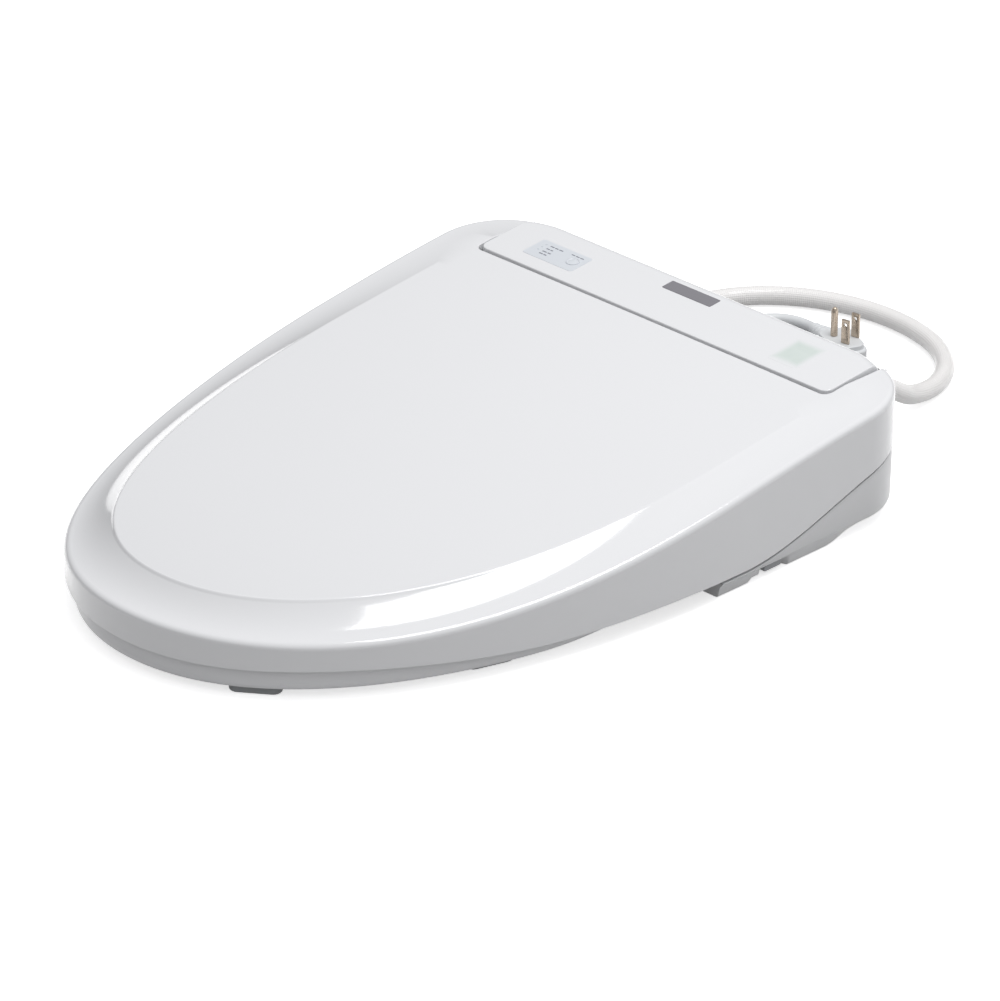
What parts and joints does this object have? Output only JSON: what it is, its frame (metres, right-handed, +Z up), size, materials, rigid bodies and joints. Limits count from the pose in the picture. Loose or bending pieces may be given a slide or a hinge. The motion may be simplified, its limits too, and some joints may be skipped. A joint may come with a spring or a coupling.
{
  "type": "electric bidet seat",
  "caption": "Long oval gloss white toilet seat lid over a heated seat, hinged on a rear base unit with washing wand, dryer, top status panel, supply hose and mains cord.",
  "frame": {"origin": "centre of the footprint on the resting surface, cord and hose not counted", "axes": "+Z up, -Y to the nose of the seat, +Y to the rear of the base unit, +X to the user's left when seated (right when seen from the nose)"},
  "size_m": [0.396, 0.7224, 0.0926],
  "materials": {
    "gloss_white": "high gloss moulded white",
    "satin_white": "fine satin moulded white",
    "grey_plastic": "plain moulded grey",
    "dark_plastic": "black moulded plastic",
    "badge_grey": "satin mid grey plate",
    "label_grey": "printed pale grey film",
    "window_tint": "pale green-grey translucent window",
    "pale_rubber": "soft grey rubber",
    "braided_hose": "white braided sleeve",
    "cord_white": "smooth off-white cord jacket",
    "chrome": "polished chrome",
    "contact_metal": "nickel-plated brass contacts",
    "steel": "zinc-plated steel",
    "board_green": "green circuit board lacquer",
    "heater_foil": "copper-coloured heater foil"
  },
  "bodies": {
    "base": {"hinge_pin_left": "steel", "hinge_pin_right": "steel", "base_tray": "satin_white", "mounting_plate": "grey_plastic", "top_cover": "gloss_white", "indicator_panel": "label_grey", "badge_plate": "badge_grey", "ir_window": "window_tint", "wand_rail": "grey_plastic", "wand_motor": "steel", "blower_housing": "dark_plastic", "fan_motor": "steel", "dryer_duct": "grey_plastic", "water_tank": "grey_plastic", "valve_block": "dark_plastic", "water_pump": "dark_plastic", "control_board": "board_green", "power_board": "board_green", "lid_drive": "dark_plastic", "seat_damper": "dark_plastic", "filter_ring": "chrome", "inlet_fitting": "satin_white", "inlet_nut": "satin_white", "supply_hose": "braided_hose", "far_nut": "chrome", "strain_relief": "cord_white", "power_cord": "cord_white", "cord_coil": "cord_white", "cord_tail": "cord_white", "plug_body": "cord_white", "plug_blade_left": "contact_metal", "plug_blade_right": "contact_metal", "plug_ground_pin": "contact_metal"},
    "lid": {"lid_shell": "gloss_white", "lid_bumper_left": "pale_rubber", "lid_bumper_right": "pale_rubber"},
    "seat": {"seat_top": "gloss_white", "seat_bottom_plate": "satin_white", "seat_heater": "heater_foil", "seat_bumper_front_right": "pale_rubber", "seat_bumper_front_left": "pale_rubber", "seat_bumper_rear_right": "pale_rubber", "seat_bumper_rear_left": "pale_rubber", "seat_arm_left": "satin_white", "seat_arm_right": "satin_white"},
    "wand": {"wand_tube": "satin_white", "wand_tip": "satin_white", "wand_shield": "satin_white"},
    "fan": {"fan_impeller": "grey_plastic"},
    "flap": {"dryer_flap": "satin_white"},
    "cartridge": {"deodoriser_cartridge": "satin_white"},
    "button": {"clean_button": "label_grey"},
    "release": {"release_button": "grey_plastic"},
    "filter": {"filter_cap": "dark_plastic"}
  },
  "joints": [
    {"name": "lid_hinge", "type": "hinge", "parent": "base", "child": "lid", "pos_m": [0, 0.2445, 0.076], "axis": [-1, 0, 0], "range_deg": [0, 100]},
    {"name": "seat_hinge", "type": "hinge", "parent": "base", "child": "seat", "pos_m": [0, 0.2445, 0.076], "axis": [-1, 0, 0], "range_deg": [0, 95.5]},
    {"name": "wand_slide", "type": "slide", "parent": "base", "child": "wand", "axis": [0, -0.9981, -0.061], "range_m": [0, 0.095]},
    {"name": "fan_spin", "type": "hinge", "parent": "base", "child": "fan", "pos_m": [0.064, 0.2295, 0.02], "axis": [0, 0, 1], "continuous": true},
    {"name": "flap_hinge", "type": "hinge", "parent": "base", "child": "flap", "pos_m": [0.053, 0.06745, 0.0244], "axis": [-1, 0, 0], "range_deg": [0, 70]},
    {"name": "cartridge_slide", "type": "slide", "parent": "base", "child": "cartridge", "axis": [-1, 0, 0], "range_m": [0, 0.045]},
    {"name": "clean_press", "type": "slide", "parent": "base", "child": "button", "axis": [0, 0.0905, -0.9959], "range_m": [0, 0.0006], "stiffness_N_per_m": 400},
    {"name": "release_press", "type": "slide", "parent": "base", "child": "release", "axis": [-1, 0, 0], "range_m": [0, 0.004], "stiffness_N_per_m": 400},
    {"name": "filter_turn", "type": "hinge", "parent": "base", "child": "filter", "pos_m": [0.141, 0.26, 0.066], "axis": [0, 1, 0], "range_deg": [0, 90]}
  ],
  "couplings": [
    {"joint": "seat_hinge", "follows": "lid_hinge", "ratio": 0.95}
  ]
}
